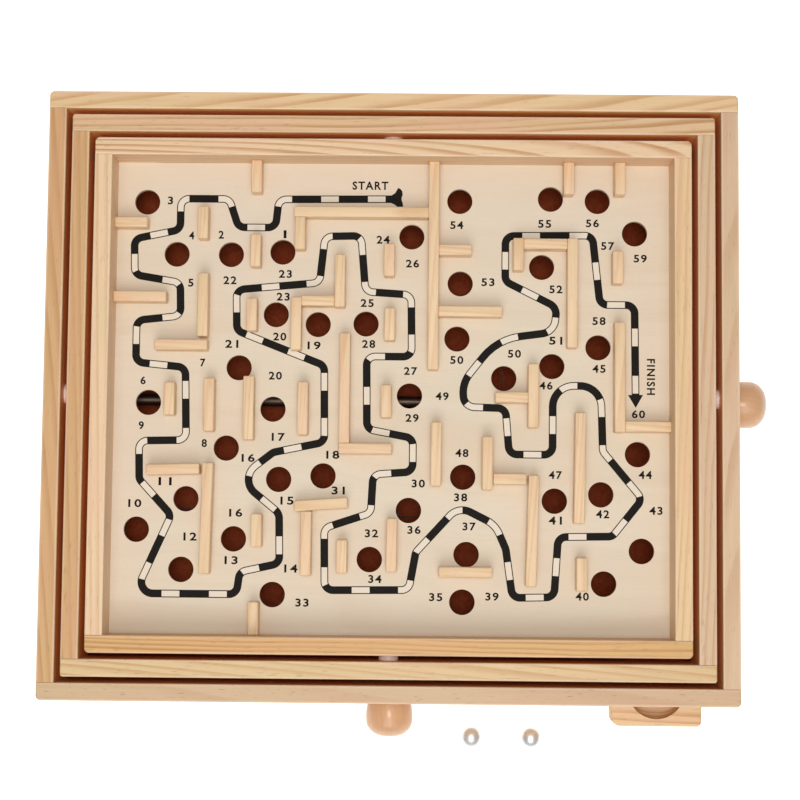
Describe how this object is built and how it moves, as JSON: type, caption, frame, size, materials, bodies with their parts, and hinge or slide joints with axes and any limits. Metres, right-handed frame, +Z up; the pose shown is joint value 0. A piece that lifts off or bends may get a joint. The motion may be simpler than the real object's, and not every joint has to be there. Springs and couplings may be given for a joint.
{
  "type": "tilt maze game",
  "caption": "Wooden tilt maze game: open box with two nested tilting frames, a holed maze board, two side knobs, sloping floor, ball tray and steel balls.",
  "frame": {"origin": "middle of the box's underside, on the surface that it stands on", "axes": "+X to the right, towards the side knob; +Y to the back, away from the player; +Z up"},
  "size_m": [0.3776, 0.343, 0.09],
  "materials": {
    "pine": "planed and clear-sealed",
    "strip_pine": "planed",
    "plywood": "sanded, printed",
    "hardboard": "smooth face",
    "lacquered_wood": "lacquered",
    "nylon": "natural nylon",
    "steel": "bright drawn",
    "polished_steel": "polished",
    "cord": "braided"
  },
  "bodies": {
    "box": {"front_wall": "pine", "back_wall": "pine", "left_wall": "pine", "right_wall": "pine", "base_panel": "hardboard", "base_nails": "steel", "catch_floor": "hardboard", "back_batten": "pine", "left_batten": "pine", "corner_guide": "pine", "ball_tray": "pine", "left_pivot_pin": "steel", "right_pivot_pin": "steel", "left_pivot_spacer": "nylon", "right_pivot_spacer": "nylon", "right_shaft_bush": "nylon", "right_shaft_end_bush": "nylon", "front_shaft_bush": "nylon", "front_shaft_end_bush": "nylon"},
    "middle_frame": {"middle_front_rail": "pine", "middle_back_rail": "pine", "middle_left_rail": "pine", "middle_right_rail": "pine", "front_pivot_pin": "steel", "back_pivot_pin": "steel", "front_pivot_spacer": "nylon", "back_pivot_spacer": "nylon", "right_cord_front_eye": "steel", "right_cord_back_eye": "steel", "right_cord_front_run": "cord", "right_cord_back_run": "cord", "right_cord_back_spring": "steel"},
    "maze_frame": {"maze_front_rail": "pine", "maze_back_rail": "pine", "maze_left_rail": "pine", "maze_right_rail": "pine", "maze_board": "plywood", "short_strips": "strip_pine", "stub_strips": "strip_pine", "medium_strips": "strip_pine", "long_strips": "strip_pine", "barrier_strips": "strip_pine", "gate_strip": "strip_pine", "beam_strip": "strip_pine", "divider_strip": "strip_pine", "front_cord_left_eye": "steel", "front_cord_right_eye": "steel", "front_cord_left_run": "cord", "front_cord_right_run": "cord", "front_cord_right_spring": "steel"},
    "right_drive": {"right_shaft": "steel", "right_knob": "lacquered_wood", "right_shaft_collar": "steel", "right_cord_winding": "cord"},
    "front_drive": {"front_shaft": "steel", "front_knob": "lacquered_wood", "front_shaft_collar": "steel", "front_cord_winding": "cord"},
    "ball_1": {"ball_1": "polished_steel"},
    "ball_2": {"ball_2": "polished_steel"}
  },
  "joints": [
    {"name": "middle_tilt", "type": "hinge", "parent": "box", "child": "middle_frame", "pos_m": [0, 0, 0.076], "axis": [1, 0, 0], "range_deg": [-6, 6], "deforming": ["right_cord_front_run", "right_cord_back_run", "right_cord_back_spring"]},
    {"name": "maze_tilt", "type": "hinge", "parent": "middle_frame", "child": "maze_frame", "pos_m": [0, 0, 0.076], "axis": [0, 1, 0], "range_deg": [-6, 6], "deforming": ["front_cord_left_run", "front_cord_right_run", "front_cord_right_spring"]},
    {"name": "right_knob_turn", "type": "hinge", "parent": "box", "child": "right_drive", "pos_m": [0, 0, 0.04], "axis": [1, 0, 0], "range_deg": [-56, 56]},
    {"name": "front_knob_turn", "type": "hinge", "parent": "box", "child": "front_drive", "pos_m": [0, 0, 0.031], "axis": [0, 1, 0], "range_deg": [-71, 71]},
    {"name": "ball_1_lift", "type": "slide", "parent": "box", "child": "ball_1", "axis": [0, 0, 1], "range_m": [0, 0.12]},
    {"name": "ball_2_lift", "type": "slide", "parent": "box", "child": "ball_2", "axis": [0, 0, 1], "range_m": [0, 0.12]}
  ],
  "couplings": [
    {"joint": "right_knob_turn", "follows": "middle_tilt", "ratio": -9.2277},
    {"joint": "front_knob_turn", "follows": "maze_tilt", "ratio": -11.695}
  ]
}
